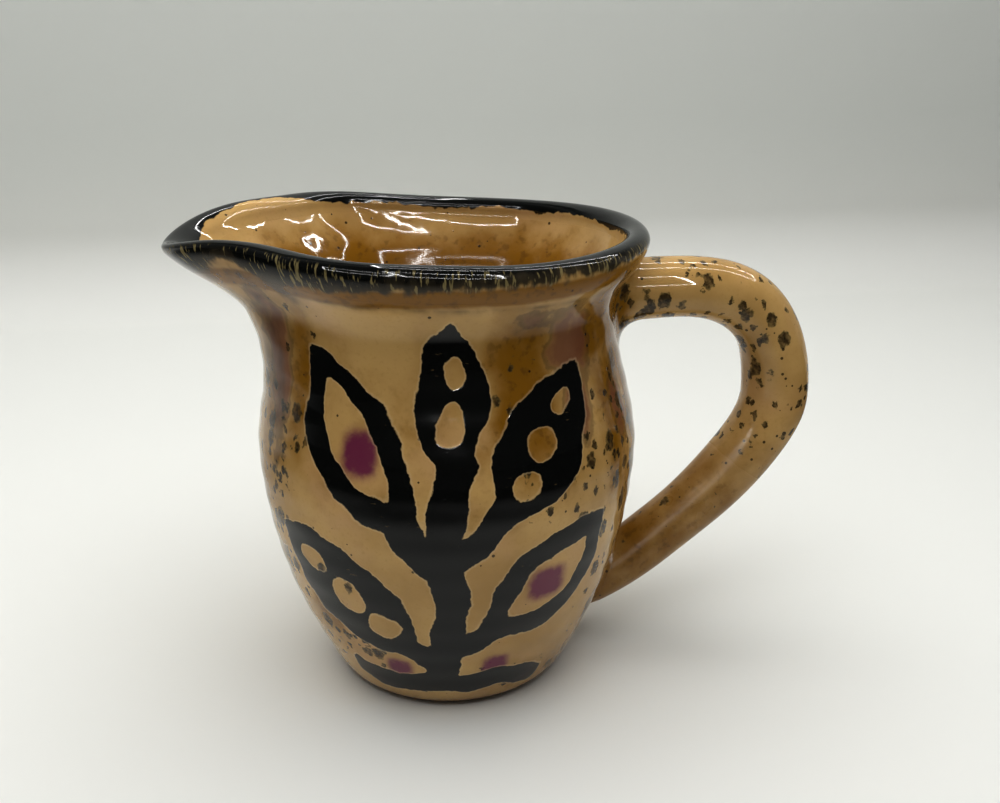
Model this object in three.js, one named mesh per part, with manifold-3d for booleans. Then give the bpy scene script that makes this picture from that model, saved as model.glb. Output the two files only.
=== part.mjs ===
// A hand-thrown ceramic creamer: a thrown body whose spout is pulled out of the rolled lip, a pulled
// loop handle luted on under the lip and low on the belly, a fillet of soft clay smoothed round each
// handle joint, and a thick band of black glaze over the lip.
// Millimetres, +Z up. The origin is the middle of the flat base, on the surface that the jug stands
// on. The spout points to -X and the handle to +X.

import * as THREE from 'three';
import { mergeVertices } from 'three/addons/utils/BufferGeometryUtils.js';
import Module from 'manifold-3d';

// Thrown body: the outer wall, before the spout is pulled
const FOOT_RADIUS = 24;
const FOOT_LEAN = 0.6;
const FOOT_ROUNDING = 5;
const FOOT_TO_BELLY = 50.2;
const BELLY_RADIUS = 38.8;
const BELLY_TO_NECK = 30;
const NECK_RADIUS = 33;
const NECK_TO_LIP = 12.3;
const LIP_RADIUS = 38.9;
const LIP_LEAN = 0.2;
const LIP_ROLL = 2.5;
const WALL = 4.2;
const FLOOR = 5.5;
const FLOOR_ROUNDING = 9;

// Pulled spout and the shape that pulling it leaves in the mouth
const SPOUT_REACH = 14.6;
const SPOUT_DEPTH = 35.8;
const SPOUT_HALF_ANGLE = THREE.MathUtils.degToRad(29.2);
const SPOUT_SWEEP = 1.64;
const SPOUT_DROP = 6;
const SHOULDER_SWELL = 4.75;
const SHOULDER_ANGLE = THREE.MathUtils.degToRad(56);
const SHOULDER_SPREAD = THREE.MathUtils.degToRad(20);
const FLANK_LIFT = 1.86;
const FLANK_ANGLE = THREE.MathUtils.degToRad(19);
const FLANK_SPREAD = THREE.MathUtils.degToRad(16);
const MOUTH_OVAL = 1.6;
const RIM_TILT = 2.1;
const RIM_SADDLE = 1.15;
const RIM_SWEEP = 3;

// Black glaze band over the lip
const BAND_THICKNESS = 0.9;
const BAND_OUTSIDE = 6.5;
const BAND_INSIDE = 4.2;

// Pulled handle: its line, the wall left under its lower joint, and its half thickness in the plane
// of the loop
const HANDLE_BELOW_RIM = 15.9;
const HANDLE_TOP_RUN = 12.6;
const HANDLE_REACH = 33;
const HANDLE_APEX_DROP = 24;
const HANDLE_SHOULDER_RUN = 30;
const HANDLE_KNEE_RUN = 15.9;
const HANDLE_TAIL_RUN = 5.9;
const HANDLE_TAIL_ANGLE = THREE.MathUtils.degToRad(18);
const HANDLE_FOOT_ROOM = 5.8;
const HANDLE_TOP_HALF = 6.3;
const HANDLE_BEND_HALF = 7.2;
const HANDLE_TAIL_HALF = 5.5;
const HANDLE_ROUNDNESS = 1.06;
const HANDLE_BURIED = 9;

// Luting fillets: how far the clay runs out from the joint line, over the joint and under it
const UPPER_FILLET_OVER = 3.6;
const UPPER_FILLET_UNDER = 7.6;
const LOWER_FILLET_OVER = 5.6;

// Gap left between two pieces that sit against each other
const CLEARANCE = 0.3;

// Facets round the turned pieces and steps along each curve
const TURN_FACETS = 64;
const FOOT_STEPS = 3;
const LOWER_WALL_STEPS = 7;
const UPPER_WALL_STEPS = 5;
const FLARE_STEPS = 3;
const LIP_STEPS = 2;
const ROLL_STEPS = 6;
const FLOOR_STEPS = 4;
const HANDLE_SIDES = 16;
const HANDLE_STEPS = 34;
const FILLET_STEPS = 5;

// Rounds of closing in on a point of the wall and on a joint line
const WALL_ROUNDS = 4;
const JOINT_ROUNDS = 24;

// Heights that follow from the sizes above
const LIP_LEAN_ANGLE = Math.atan(LIP_LEAN);
const NECK_HEIGHT = FOOT_TO_BELLY + BELLY_TO_NECK;
const LIP_HEIGHT = NECK_HEIGHT + NECK_TO_LIP;
const ROLL_RADIUS = LIP_RADIUS - LIP_ROLL * Math.cos(LIP_LEAN_ANGLE);
const ROLL_HEIGHT = LIP_HEIGHT + LIP_ROLL * Math.sin(LIP_LEAN_ANGLE);
const RIM_HEIGHT = ROLL_HEIGHT + LIP_ROLL;
const QUARTER_TURN = Math.PI / 2;

// The foot's rounding runs into the leaning wall. The handle's lower joint stands its room above the
// base, and the lower fillet takes up that room down to the rounding
const FOOT_LEAN_ANGLE = Math.atan(FOOT_LEAN);
const FOOT_TOP = FOOT_ROUNDING * (1 - Math.sin(FOOT_LEAN_ANGLE));
const TAIL_SLANT = FOOT_LEAN_ANGLE + HANDLE_TAIL_ANGLE;
const TAIL_DROP = (HANDLE_TAIL_HALF * Math.cos(FOOT_LEAN_ANGLE)) / Math.cos(TAIL_SLANT);
const HANDLE_FOOT_HEIGHT = HANDLE_FOOT_ROOM + TAIL_DROP;
const LOWER_FILLET_UNDER = HANDLE_FOOT_ROOM - FOOT_TOP;

// A fillet is pressed under the two surfaces before it is cut back to them: its face by the bite, so
// that its edges come out at a clear angle, and its hidden back by the root
const FILLET_BITE = 2 * CLEARANCE;
const FILLET_ROOT = 2 * FILLET_BITE;

const wasm = await Module();
wasm.setup();

// One stretch of wall: a cubic between two heights, with a lean at each end in radius per height.
function wallStretch(lowRadius, lowHeight, lowLean, highRadius, highHeight, highLean) {
  const third = (highHeight - lowHeight) / 3;
  return new THREE.CubicBezierCurve(
    new THREE.Vector2(lowRadius, lowHeight),
    new THREE.Vector2(lowRadius + lowLean * third, lowHeight + third),
    new THREE.Vector2(highRadius - highLean * third, highHeight - third),
    new THREE.Vector2(highRadius, highHeight),
  );
}

// The wall's radius at a height, on a list of stretches from the foot upwards.
function radiusAt(stretches, height) {
  const stretch = stretches.find((curve) => height <= curve.v3.y) ?? stretches.at(-1);
  return stretch.getPoint((height - stretch.v0.y) / (stretch.v3.y - stretch.v0.y)).x;
}

const outerWall = [
  wallStretch(FOOT_RADIUS, 0, FOOT_LEAN, BELLY_RADIUS, FOOT_TO_BELLY, 0),
  wallStretch(BELLY_RADIUS, FOOT_TO_BELLY, 0, NECK_RADIUS, NECK_HEIGHT, 0),
  wallStretch(NECK_RADIUS, NECK_HEIGHT, 0, LIP_RADIUS, LIP_HEIGHT, LIP_LEAN),
];

const throatRadius = NECK_RADIUS - WALL;
const mouthRadius = ROLL_RADIUS - LIP_ROLL;
const throatWall = wallStretch(throatRadius, NECK_HEIGHT, 0, mouthRadius, ROLL_HEIGHT, 0);

// Points on a list of stretches between two heights, both ends included.
function climb(stretches, fromHeight, toHeight, steps) {
  return Array.from({ length: steps + 1 }, (_, step) => {
    const height = THREE.MathUtils.lerp(fromHeight, toHeight, step / steps);
    return new THREE.Vector2(radiusAt(stretches, height), height);
  });
}

// Points on an arc round a middle point, with angles counted from the outward horizontal.
function arc(radius, height, size, fromAngle, toAngle, steps) {
  const clockwise = toAngle < fromAngle;
  return new THREE.ArcCurve(radius, height, size, fromAngle, toAngle, clockwise).getPoints(steps);
}

// A line moved sideways: a positive distance goes to the right of its direction, out of the wall on
// the way up.
function moveSideways(line, distance) {
  return line.map((point, index) => {
    const before = line[Math.max(index - 1, 0)];
    const after = line[Math.min(index + 1, line.length - 1)];
    const along = after.clone().sub(before).normalize();
    return new THREE.Vector2(point.x + along.y * distance, point.y - along.x * distance);
  });
}

// The outer wall from the rounded foot up to a height.
function outsideLine(toHeight) {
  const middle = radiusAt(outerWall, FOOT_TOP) - FOOT_ROUNDING * Math.cos(FOOT_LEAN_ANGLE);
  const foot = arc(middle, FOOT_ROUNDING, FOOT_ROUNDING, -QUARTER_TURN, -FOOT_LEAN_ANGLE, FOOT_STEPS);
  const lower = climb(outerWall, FOOT_TOP, FOOT_TO_BELLY, LOWER_WALL_STEPS).slice(1);
  const upper = climb(outerWall, FOOT_TO_BELLY, NECK_HEIGHT, UPPER_WALL_STEPS).slice(1);
  const flare = climb(outerWall, NECK_HEIGHT, toHeight, FLARE_STEPS).slice(1);
  return [...foot, ...lower, ...upper, ...flare];
}

// The lip, over the roll, from a height outside to a height inside.
function lipLine(outsideHeight, insideHeight) {
  const outside = climb(outerWall, outsideHeight, LIP_HEIGHT, LIP_STEPS).slice(0, -1);
  const roll = arc(ROLL_RADIUS, ROLL_HEIGHT, LIP_ROLL, -LIP_LEAN_ANGLE, Math.PI, ROLL_STEPS);
  const inside = climb([throatWall], ROLL_HEIGHT, insideHeight, 1).slice(1);
  return [...outside, ...roll, ...inside];
}

// The inside of the body, from a height in the throat down to the middle of the floor.
function insideLine(fromHeight) {
  const cornerHeight = FLOOR + FLOOR_ROUNDING;
  const middle = radiusAt(outerWall, cornerHeight) - WALL - FLOOR_ROUNDING;
  const thinned = (points) => points.map((point) => new THREE.Vector2(point.x - WALL, point.y));
  const throat = climb([throatWall], fromHeight, NECK_HEIGHT, FLARE_STEPS);
  const upper = thinned(climb(outerWall, NECK_HEIGHT, FOOT_TO_BELLY, UPPER_WALL_STEPS).slice(1));
  const lower = thinned(climb(outerWall, FOOT_TO_BELLY, cornerHeight, LOWER_WALL_STEPS).slice(1, -1));
  const corner = arc(middle, cornerHeight, FLOOR_ROUNDING, 0, -QUARTER_TURN, FLOOR_STEPS);
  return [...throat, ...upper, ...lower, ...corner, new THREE.Vector2(0, FLOOR)];
}

// A bell curve that is 1 at the middle and falls off over the spread.
function bell(distance, spread) {
  return Math.exp(-((distance / spread) ** 2));
}

// Pulls a turned point as the potter's fingers do: the spout is drawn out and down at -X, the mouth
// swells at its two shoulders and lifts along its flanks, and the rim settles into a slight saddle.
function pullSpout(point) {
  const radius = Math.hypot(point.x, point.y);
  if (radius === 0) return point;
  const angle = Math.atan2(point.y, point.x);
  const fromSpout = Math.PI - Math.abs(angle);
  const spoutFoot = RIM_HEIGHT - SPOUT_DEPTH;
  const pulled = Math.max((point.z - spoutFoot) / SPOUT_DEPTH, 0) ** SPOUT_SWEEP;
  const raised = Math.max(point.z / RIM_HEIGHT, 0) ** RIM_SWEEP;
  const lobe = bell(fromSpout, SPOUT_HALF_ANGLE);
  const shoulder = bell(fromSpout - SHOULDER_ANGLE, SHOULDER_SPREAD);
  const flank = bell(fromSpout - FLANK_ANGLE, FLANK_SPREAD);
  const oval = Math.cos(2 * angle);
  const drawn = pulled * (SPOUT_REACH * lobe + SHOULDER_SWELL * shoulder);
  const grown = radius + drawn + raised * MOUTH_OVAL * oval;
  const lift = RIM_SADDLE * oval - RIM_TILT * Math.cos(angle) + FLANK_LIFT * flank;
  return point.set(
    grown * Math.cos(angle),
    grown * Math.sin(angle),
    point.z + raised * lift - pulled * SPOUT_DROP * lobe,
  );
}

// Closed geometry to a solid, with shared corners merged. Facets that the axis collapses are left out.
function toSolid(geometry) {
  geometry.deleteAttribute('normal');
  geometry.deleteAttribute('uv');
  const merged = mergeVertices(geometry);
  const corners = merged.index.array;
  const kept = [];
  for (let start = 0; start < corners.length; start += 3) {
    const [a, b, c] = corners.slice(start, start + 3);
    if (a !== b && b !== c && c !== a) kept.push(a, b, c);
  }
  const mesh = new wasm.Mesh({
    numProp: 3,
    vertProperties: new Float32Array(merged.attributes.position.array),
    triVerts: new Uint32Array(kept),
  });
  return new wasm.Manifold(mesh);
}

function toGeometry(solid) {
  const mesh = solid.getMesh();
  const geometry = new THREE.BufferGeometry();
  geometry.setAttribute('position', new THREE.BufferAttribute(mesh.vertProperties, 3));
  geometry.setIndex(new THREE.BufferAttribute(mesh.triVerts, 1));
  geometry.computeVertexNormals();
  return geometry;
}

// Turns a closed profile round the jug's axis and pulls the spout in it.
function turn(profile) {
  const geometry = new THREE.LatheGeometry(profile, TURN_FACETS);
  const positions = geometry.attributes.position;
  const turned = new THREE.Vector3();
  for (let index = 0; index < positions.count; index += 1) {
    turned.fromBufferAttribute(positions, index);
    const upright = pullSpout(new THREE.Vector3(turned.x, -turned.z, turned.y));
    positions.setXYZ(index, upright.x, upright.y, upright.z);
  }
  return toSolid(geometry);
}

// The body has a rebate round its lip, which the glaze band lies in.
function makeBody() {
  const bandFoot = RIM_HEIGHT - BAND_OUTSIDE;
  const bandHem = RIM_HEIGHT - BAND_INSIDE;
  const rebate = moveSideways(lipLine(bandFoot, bandHem), -(BAND_THICKNESS + CLEARANCE));
  return turn([new THREE.Vector2(0, 0), ...outsideLine(bandFoot), ...rebate, ...insideLine(bandHem)]);
}

function makeRimBand() {
  const face = lipLine(RIM_HEIGHT - BAND_OUTSIDE + CLEARANCE, RIM_HEIGHT - BAND_INSIDE + CLEARANCE);
  const back = moveSideways(face, -BAND_THICKNESS).reverse();
  return turn([...face, ...back, face[0]]);
}

// Everything that the body and its band take up, with the clearance round it: what is set on the
// wall is cut back by this.
function makeWallClearance() {
  const outside = outsideLine(RIM_HEIGHT - BAND_OUTSIDE);
  const lip = lipLine(RIM_HEIGHT - BAND_OUTSIDE, ROLL_HEIGHT).slice(1);
  const grown = moveSideways([...outside, ...lip], CLEARANCE);
  return turn([new THREE.Vector2(0, grown[0].y), ...grown, new THREE.Vector2(0, grown.at(-1).y)]);
}

// The handle's middle line: straight out under the lip, round the bend, and slanting back to the
// wall above the foot. Both ends run on into the clay, to be cut back to the wall.
function makeHandleLine() {
  const topHeight = RIM_HEIGHT - HANDLE_BELOW_RIM;
  const apexReach = BELLY_RADIUS + HANDLE_REACH;
  const apexHeight = topHeight - HANDLE_APEX_DROP;
  const top = new THREE.Vector3(radiusAt(outerWall, topHeight), 0, topHeight);
  const topWay = new THREE.Vector3(1, 0, 0);
  const apex = new THREE.Vector3(apexReach, 0, apexHeight);
  const foot = new THREE.Vector3(radiusAt(outerWall, HANDLE_FOOT_HEIGHT), 0, HANDLE_FOOT_HEIGHT);
  const footWay = new THREE.Vector3(Math.cos(HANDLE_TAIL_ANGLE), 0, Math.sin(HANDLE_TAIL_ANGLE));
  const line = new THREE.CurvePath();
  line.add(new THREE.LineCurve3(top.clone().addScaledVector(topWay, -HANDLE_BURIED), top));
  line.add(new THREE.CubicBezierCurve3(
    top,
    top.clone().addScaledVector(topWay, HANDLE_TOP_RUN),
    new THREE.Vector3(apexReach, 0, apexHeight + HANDLE_SHOULDER_RUN),
    apex,
  ));
  line.add(new THREE.CubicBezierCurve3(
    apex,
    new THREE.Vector3(apexReach, 0, apexHeight - HANDLE_KNEE_RUN),
    foot.clone().addScaledVector(footWay, HANDLE_TAIL_RUN),
    foot,
  ));
  line.add(new THREE.LineCurve3(foot, foot.clone().addScaledVector(footWay, -HANDLE_BURIED)));
  return line;
}

const handleLine = makeHandleLine();
const handleLength = handleLine.getLength();
const across = new THREE.Vector3(0, 1, 0);

// The pulled coil is thickest in the bend and thins towards both ends.
function handleHalf(share) {
  if (share < 0.5) return THREE.MathUtils.lerp(HANDLE_TOP_HALF, HANDLE_BEND_HALF, 2 * share);
  return THREE.MathUtils.lerp(HANDLE_BEND_HALF, HANDLE_TAIL_HALF, 2 * share - 1);
}

// The way from the handle's middle line to its surface, at a share of its length and a turn round it.
function handleWay(share, turned) {
  const outward = across.clone().cross(handleLine.getTangent(share)).normalize();
  const sideways = HANDLE_ROUNDNESS * Math.sin(turned);
  return outward.multiplyScalar(Math.cos(turned)).addScaledVector(across, sideways);
}

function handlePoint(share, turned, growth = 0) {
  return handleLine.getPoint(share).addScaledVector(handleWay(share, turned), handleHalf(share) + growth);
}

// Joins rings of points, each with as many points, into one skin. A closed skin goes round from the
// last ring to the first, and an open one gets a flat end at both of its end rings.
function skin(rings, closed) {
  const sides = rings[0].length;
  const facets = [];
  rings.forEach((ring, index) => {
    if (index === 0 && !closed) return;
    const here = index * sides;
    const last = ((index + rings.length - 1) % rings.length) * sides;
    ring.forEach((_, side) => {
      const next = (side + 1) % sides;
      facets.push(last + side, last + next, here + next, last + side, here + next, here + side);
    });
  });
  const end = (rings.length - 1) * sides;
  for (let side = 1; side < sides - 1 && !closed; side += 1) {
    facets.push(0, side + 1, side, end, end + side, end + side + 1);
  }
  const geometry = new THREE.BufferGeometry().setFromPoints(rings.flat());
  geometry.setIndex(facets);
  return toSolid(geometry);
}

const handleTurns = Array.from({ length: HANDLE_SIDES }, (_, side) => (side / HANDLE_SIDES) * 2 * Math.PI);

// The handle from end to end, grown all round.
function makeCoil(growth) {
  const ringAt = (share) => handleTurns.map((turned) => handlePoint(share, turned, growth));
  const rings = Array.from({ length: HANDLE_STEPS + 1 }, (_, step) => ringAt(step / HANDLE_STEPS));
  return skin(rings, false);
}

// The point of the outer wall at the same direction and height as a given point.
function wallPoint(point) {
  const angle = Math.atan2(point.y, point.x);
  let height = point.z;
  let onWall = point;
  for (let round = 0; round < WALL_ROUNDS; round += 1) {
    const radius = radiusAt(outerWall, height);
    onWall = pullSpout(new THREE.Vector3(radius * Math.cos(angle), radius * Math.sin(angle), height));
    height += point.z - onWall.z;
  }
  return onWall;
}

function isInWall(point) {
  return Math.hypot(point.x, point.y) < Math.hypot(...wallPoint(point).toArray().slice(0, 2));
}

// The share of the handle's length at which one line of its surface comes out of the wall, between
// a share that is buried and one that is clear.
function jointShare(turned, buried, clear) {
  let inside = buried;
  let outside = clear;
  for (let round = 0; round < JOINT_ROUNDS; round += 1) {
    const middle = (inside + outside) / 2;
    if (isInWall(handlePoint(middle, turned))) inside = middle;
    else outside = middle;
  }
  return outside;
}

// One rib of a fillet: a curve that comes off the handle, bends in the corner of the joint and runs
// out on the wall, closed under the two surfaces.
function filletRib(turned, fromTop, legOver, legUnder) {
  const away = fromTop ? 1 : -1;
  const joint = jointShare(turned, fromTop ? 0 : 1, 0.5);
  const way = handleWay(joint, turned).normalize();
  const leg = THREE.MathUtils.lerp(legUnder, legOver, (1 + way.z) / 2);
  const corner = handlePoint(joint, turned);
  const onHandle = handlePoint(joint + (away * leg) / handleLength, turned);
  const outOfWall = new THREE.Vector3(corner.x, corner.y, 0).normalize();
  const alongWall = way.clone().addScaledVector(outOfWall, -way.dot(outOfWall)).normalize();
  const onWall = wallPoint(corner.clone().addScaledVector(alongWall, leg));
  const face = new THREE.QuadraticBezierCurve3(
    onHandle.clone().addScaledVector(way, -FILLET_BITE),
    corner,
    onWall.clone().addScaledVector(outOfWall, -FILLET_BITE),
  );
  return [
    ...face.getPoints(FILLET_STEPS),
    onWall.clone().addScaledVector(outOfWall, -FILLET_ROOT),
    corner.clone().addScaledVector(outOfWall, -FILLET_ROOT).addScaledVector(way, -FILLET_ROOT),
    onHandle.clone().addScaledVector(way, -FILLET_ROOT),
  ];
}

function makeFillet(fromTop, legOver, legUnder, handleClearance, wallClearance) {
  const ribs = handleTurns.map((turned) => filletRib(turned, fromTop, legOver, legUnder));
  const ring = skin(fromTop ? ribs : ribs.reverse(), true);
  return ring.subtract(handleClearance).subtract(wallClearance);
}

const TAN_GLAZE = { color: 0xa9824f, roughness: 0.18, metalness: 0 };
const BLACK_GLAZE = { color: 0x17150f, roughness: 0.12, metalness: 0 };

const creamer = new THREE.Group();

function addPiece(name, solid, finish) {
  const mesh = new THREE.Mesh(toGeometry(solid), new THREE.MeshStandardMaterial(finish));
  mesh.name = name;
  creamer.add(mesh);
}

const wallClearance = makeWallClearance();
const handleClearance = makeCoil(CLEARANCE);
addPiece('body', makeBody(), TAN_GLAZE);
addPiece('rim_glaze_band', makeRimBand(), BLACK_GLAZE);
addPiece('handle', makeCoil(0).subtract(wallClearance), TAN_GLAZE);
addPiece(
  'upper_luting_fillet',
  makeFillet(true, UPPER_FILLET_OVER, UPPER_FILLET_UNDER, handleClearance, wallClearance),
  TAN_GLAZE,
);
addPiece(
  'lower_luting_fillet',
  makeFillet(false, LOWER_FILLET_OVER, LOWER_FILLET_UNDER, handleClearance, wallClearance),
  TAN_GLAZE,
);

export default creamer;
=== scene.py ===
import math

import bpy
import numpy as np
from mathutils import Matrix, Vector


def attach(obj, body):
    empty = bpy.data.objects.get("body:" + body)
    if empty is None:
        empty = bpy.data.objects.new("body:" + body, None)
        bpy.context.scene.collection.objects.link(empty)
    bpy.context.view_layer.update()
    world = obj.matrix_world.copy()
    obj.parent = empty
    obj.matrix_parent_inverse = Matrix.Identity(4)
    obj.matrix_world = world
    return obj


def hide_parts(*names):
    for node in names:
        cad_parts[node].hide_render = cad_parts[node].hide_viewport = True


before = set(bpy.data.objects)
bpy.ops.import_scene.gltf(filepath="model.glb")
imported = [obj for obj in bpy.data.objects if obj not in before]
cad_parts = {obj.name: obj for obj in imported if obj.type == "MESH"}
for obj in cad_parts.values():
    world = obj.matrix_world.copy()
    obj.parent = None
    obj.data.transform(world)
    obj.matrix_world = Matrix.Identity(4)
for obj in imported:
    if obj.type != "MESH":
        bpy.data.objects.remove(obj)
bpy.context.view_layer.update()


# Body: a lump of stoneware thrown on the wheel, with a flared, rolled lip and a spout that is pulled
# out of the lip with the fingers. It is glazed straw-tan all over but for its bare base, washed with
# amber and mauve, and brushed with a bold black sprig of leaves. Lengths are in millimetres.
MM = 0.001
FOOT_RADIUS = 24
FOOT_LEAN = 0.6
FOOT_ROUNDING = 5
FOOT_TO_BELLY = 50.2
BELLY_RADIUS = 38.8
BELLY_TO_NECK = 30
NECK_RADIUS = 33
NECK_TO_LIP = 12.3
LIP_RADIUS = 38.9
LIP_LEAN = 0.2
LIP_ROLL = 2.48
WALL = 4.2
FLOOR = 5.5
FLOOR_ROUNDING = 9
THROAT_DROP = 1.2
THROAT_SWELL = 1.2

SPOUT_REACH = 14.6
SPOUT_DEPTH = 35.8
SPOUT_HALF_ANGLE = math.radians(29.2)
SPOUT_SWEEP = 1.64
SPOUT_DROP = 6
SHOULDER_SWELL = 4.75
SHOULDER_ANGLE = math.radians(56)
SHOULDER_SPREAD = math.radians(20)
FLANK_LIFT = 1.86
FLANK_ANGLE = math.radians(19)
FLANK_SPREAD = math.radians(16)
MOUTH_OVAL = 1.6
RIM_TILT = 2.1
RIM_SADDLE = 1.15
RIM_SWEEP = 3

# How deep the thrower's fingers mark the wall, and how far from the foot and the axis it runs true
RING_DEPTH = 0.05
UNEVEN_DEPTH = 0.09
DENT_DEPTH = 0.07
TRUE_HEIGHT = 12
TRUE_RADIUS = 20

# The rebate that the rim's thick black glaze lies in, measured down from the top of the rim
BAND_THICKNESS = 0.9
BAND_OUTSIDE = 6.5
BAND_INSIDE = 4.2
HAIRLINE = 0.02

# Rows of points on each stretch of the body, and columns round it. Hidden faces take fewer rows
BASE_ROWS = 12
FOOT_ROWS = 12
WALL_ROWS = 112
LIP_ROWS = 10
ROLL_ROWS = 28
HEM_ROWS = 6
INSIDE_ROWS = 70
CORNER_ROWS = 14
HIDDEN_STEP = 3
TURN_COLUMNS = 288
MIDDLE_RADIUS = 0.5

FOOT_LEAN_ANGLE = math.atan(FOOT_LEAN)
FOOT_TOP = FOOT_ROUNDING * (1 - math.sin(FOOT_LEAN_ANGLE))
LIP_LEAN_ANGLE = math.atan(LIP_LEAN)
NECK_HEIGHT = FOOT_TO_BELLY + BELLY_TO_NECK
LIP_HEIGHT = NECK_HEIGHT + NECK_TO_LIP
THROAT_RADIUS = NECK_RADIUS - WALL - THROAT_SWELL
THROAT_HEIGHT = NECK_HEIGHT - THROAT_DROP
ROLL_RADIUS = LIP_RADIUS - LIP_ROLL * math.cos(LIP_LEAN_ANGLE)
ROLL_HEIGHT = LIP_HEIGHT + LIP_ROLL * math.sin(LIP_LEAN_ANGLE)
MOUTH_RADIUS = ROLL_RADIUS - LIP_ROLL
RIM_HEIGHT = ROLL_HEIGHT + LIP_ROLL
BAND_FOOT = RIM_HEIGHT - BAND_OUTSIDE
BAND_HEM = RIM_HEIGHT - BAND_INSIDE
CORNER_HEIGHT = FLOOR + FLOOR_ROUNDING

turn_angles = np.linspace(-math.pi, math.pi, TURN_COLUMNS, endpoint=False)


def wall_stretch(height, low_radius, low_height, low_lean, high_radius, high_height, high_lean):
    """The radius on one stretch of wall, which leaves each end with a given lean."""
    third = (high_height - low_height) / 3
    up = (height - low_height) / (high_height - low_height)
    down = 1 - up
    return (
        low_radius * down**3
        + 3 * (low_radius + low_lean * third) * down**2 * up
        + 3 * (high_radius - high_lean * third) * down * up**2
        + high_radius * up**3
    )


def outer_radius(height):
    """The radius of the outer wall, from the foot over the belly and the neck to the flared lip."""
    lower = wall_stretch(height, FOOT_RADIUS, 0, FOOT_LEAN, BELLY_RADIUS, FOOT_TO_BELLY, 0)
    upper = wall_stretch(height, BELLY_RADIUS, FOOT_TO_BELLY, 0, NECK_RADIUS, NECK_HEIGHT, 0)
    flare = wall_stretch(height, NECK_RADIUS, NECK_HEIGHT, 0, LIP_RADIUS, LIP_HEIGHT, LIP_LEAN)
    return np.where(height <= FOOT_TO_BELLY, lower, np.where(height <= NECK_HEIGHT, upper, flare))


def inner_radius(height):
    """The radius of the inner wall, which is pressed in a little at the throat."""
    belly = wall_stretch(height, BELLY_RADIUS - WALL, FOOT_TO_BELLY, 0, THROAT_RADIUS, THROAT_HEIGHT, 0)
    throat = wall_stretch(height, THROAT_RADIUS, THROAT_HEIGHT, 0, MOUTH_RADIUS, ROLL_HEIGHT, 0)
    upper = np.where(height <= THROAT_HEIGHT, belly, throat)
    return np.where(height <= FOOT_TO_BELLY, outer_radius(height) - WALL, upper)


def bell(distance, spread):
    """A soft swell: one in its middle, and next to nothing at twice its spread."""
    return np.exp(-((distance / spread) ** 2))


def thrown_waves(angle, height):
    """How far the wall falls short of a true turned shape: finger rings and a slow unevenness."""
    rings = RING_DEPTH * (1 + np.sin(1.05 * height + 1.6 * np.sin(angle + 0.4)))
    uneven = UNEVEN_DEPTH * (1 + np.sin(2 * angle + 0.06 * height + 0.7))
    dimples = np.sin(5 * angle + 0.11 * height) * np.sin(0.17 * height + 2 * angle + 1.1)
    dents = DENT_DEPTH * (1 + dimples)
    return (rings + uneven + dents) * np.clip(height / TRUE_HEIGHT, 0, 1)


def pull_spout(radius, angle, height):
    """Pulls turned points into the spout and the mouth that it leaves, and gives them as x, y and z."""
    from_spout = math.pi - np.abs(angle)
    spout_foot = RIM_HEIGHT - SPOUT_DEPTH
    pulled = np.maximum((height - spout_foot) / SPOUT_DEPTH, 0) ** SPOUT_SWEEP
    raised = np.maximum(height / RIM_HEIGHT, 0) ** RIM_SWEEP
    lobe = bell(from_spout, SPOUT_HALF_ANGLE)
    shoulder = bell(from_spout - SHOULDER_ANGLE, SHOULDER_SPREAD)
    flank = bell(from_spout - FLANK_ANGLE, FLANK_SPREAD)
    oblong = np.cos(2 * angle)
    drawn = pulled * (SPOUT_REACH * lobe + SHOULDER_SWELL * shoulder)
    grown = radius + drawn + raised * MOUTH_OVAL * oblong
    lift = RIM_SADDLE * oblong - RIM_TILT * np.cos(angle) + FLANK_LIFT * flank
    raised_height = height + raised * lift - pulled * SPOUT_DROP * lobe
    return np.stack([grown * np.cos(angle), grown * np.sin(angle), raised_height], axis=-1)


def all_round(amounts):
    """Gives each row of points its own amount, the same all round."""
    return np.reshape(amounts, (-1, 1)) + 0 * turn_angles


def turn(profile):
    """Turns a profile of radius and height round the axis, uneven as thrown, and pulls the spout."""
    radius = all_round(profile[:, 0])
    height = all_round(profile[:, 1])
    angle = turn_angles + 0 * radius
    thinned = radius - thrown_waves(angle, height) * np.clip(radius / TRUE_RADIUS, 0, 1)
    return pull_spout(thinned, angle, height)


def points(radius, height):
    return np.stack(np.broadcast_arrays(radius, height), axis=-1).astype(float)


def arc(radius, height, size, from_angle, to_angle, rows):
    angle = np.linspace(from_angle, to_angle, rows)
    return points(radius + size * np.cos(angle), height + size * np.sin(angle))


def lip_line(outside_height, inside_height):
    """Over the rolled lip, from a height outside to a height inside."""
    outside = np.linspace(outside_height, LIP_HEIGHT, LIP_ROWS)
    inside = np.linspace(ROLL_HEIGHT, inside_height, HEM_ROWS)
    return np.concatenate([
        points(outer_radius(outside), outside),
        arc(ROLL_RADIUS, ROLL_HEIGHT, LIP_ROLL, -LIP_LEAN_ANGLE, math.pi, ROLL_ROWS)[1:-1],
        points(inner_radius(inside), inside),
    ])


def move_in(line, distance):
    """Moves a line sideways into the clay."""
    along = np.gradient(line, axis=0)
    along /= np.linalg.norm(along, axis=1, keepdims=True)
    return line + distance * np.stack([-along[:, 1], along[:, 0]], axis=1)


def travel(line):
    """The way gone along a line, at each of its points."""
    steps = np.linalg.norm(np.diff(line, axis=0), axis=1)
    return np.concatenate([[0], np.cumsum(steps)])


def crest_reach(line):
    """The way down from the crest of the lip at each point of a line, less than nothing inside."""
    gone = travel(line)
    return gone[np.argmax(line[:, 1])] - gone


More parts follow.
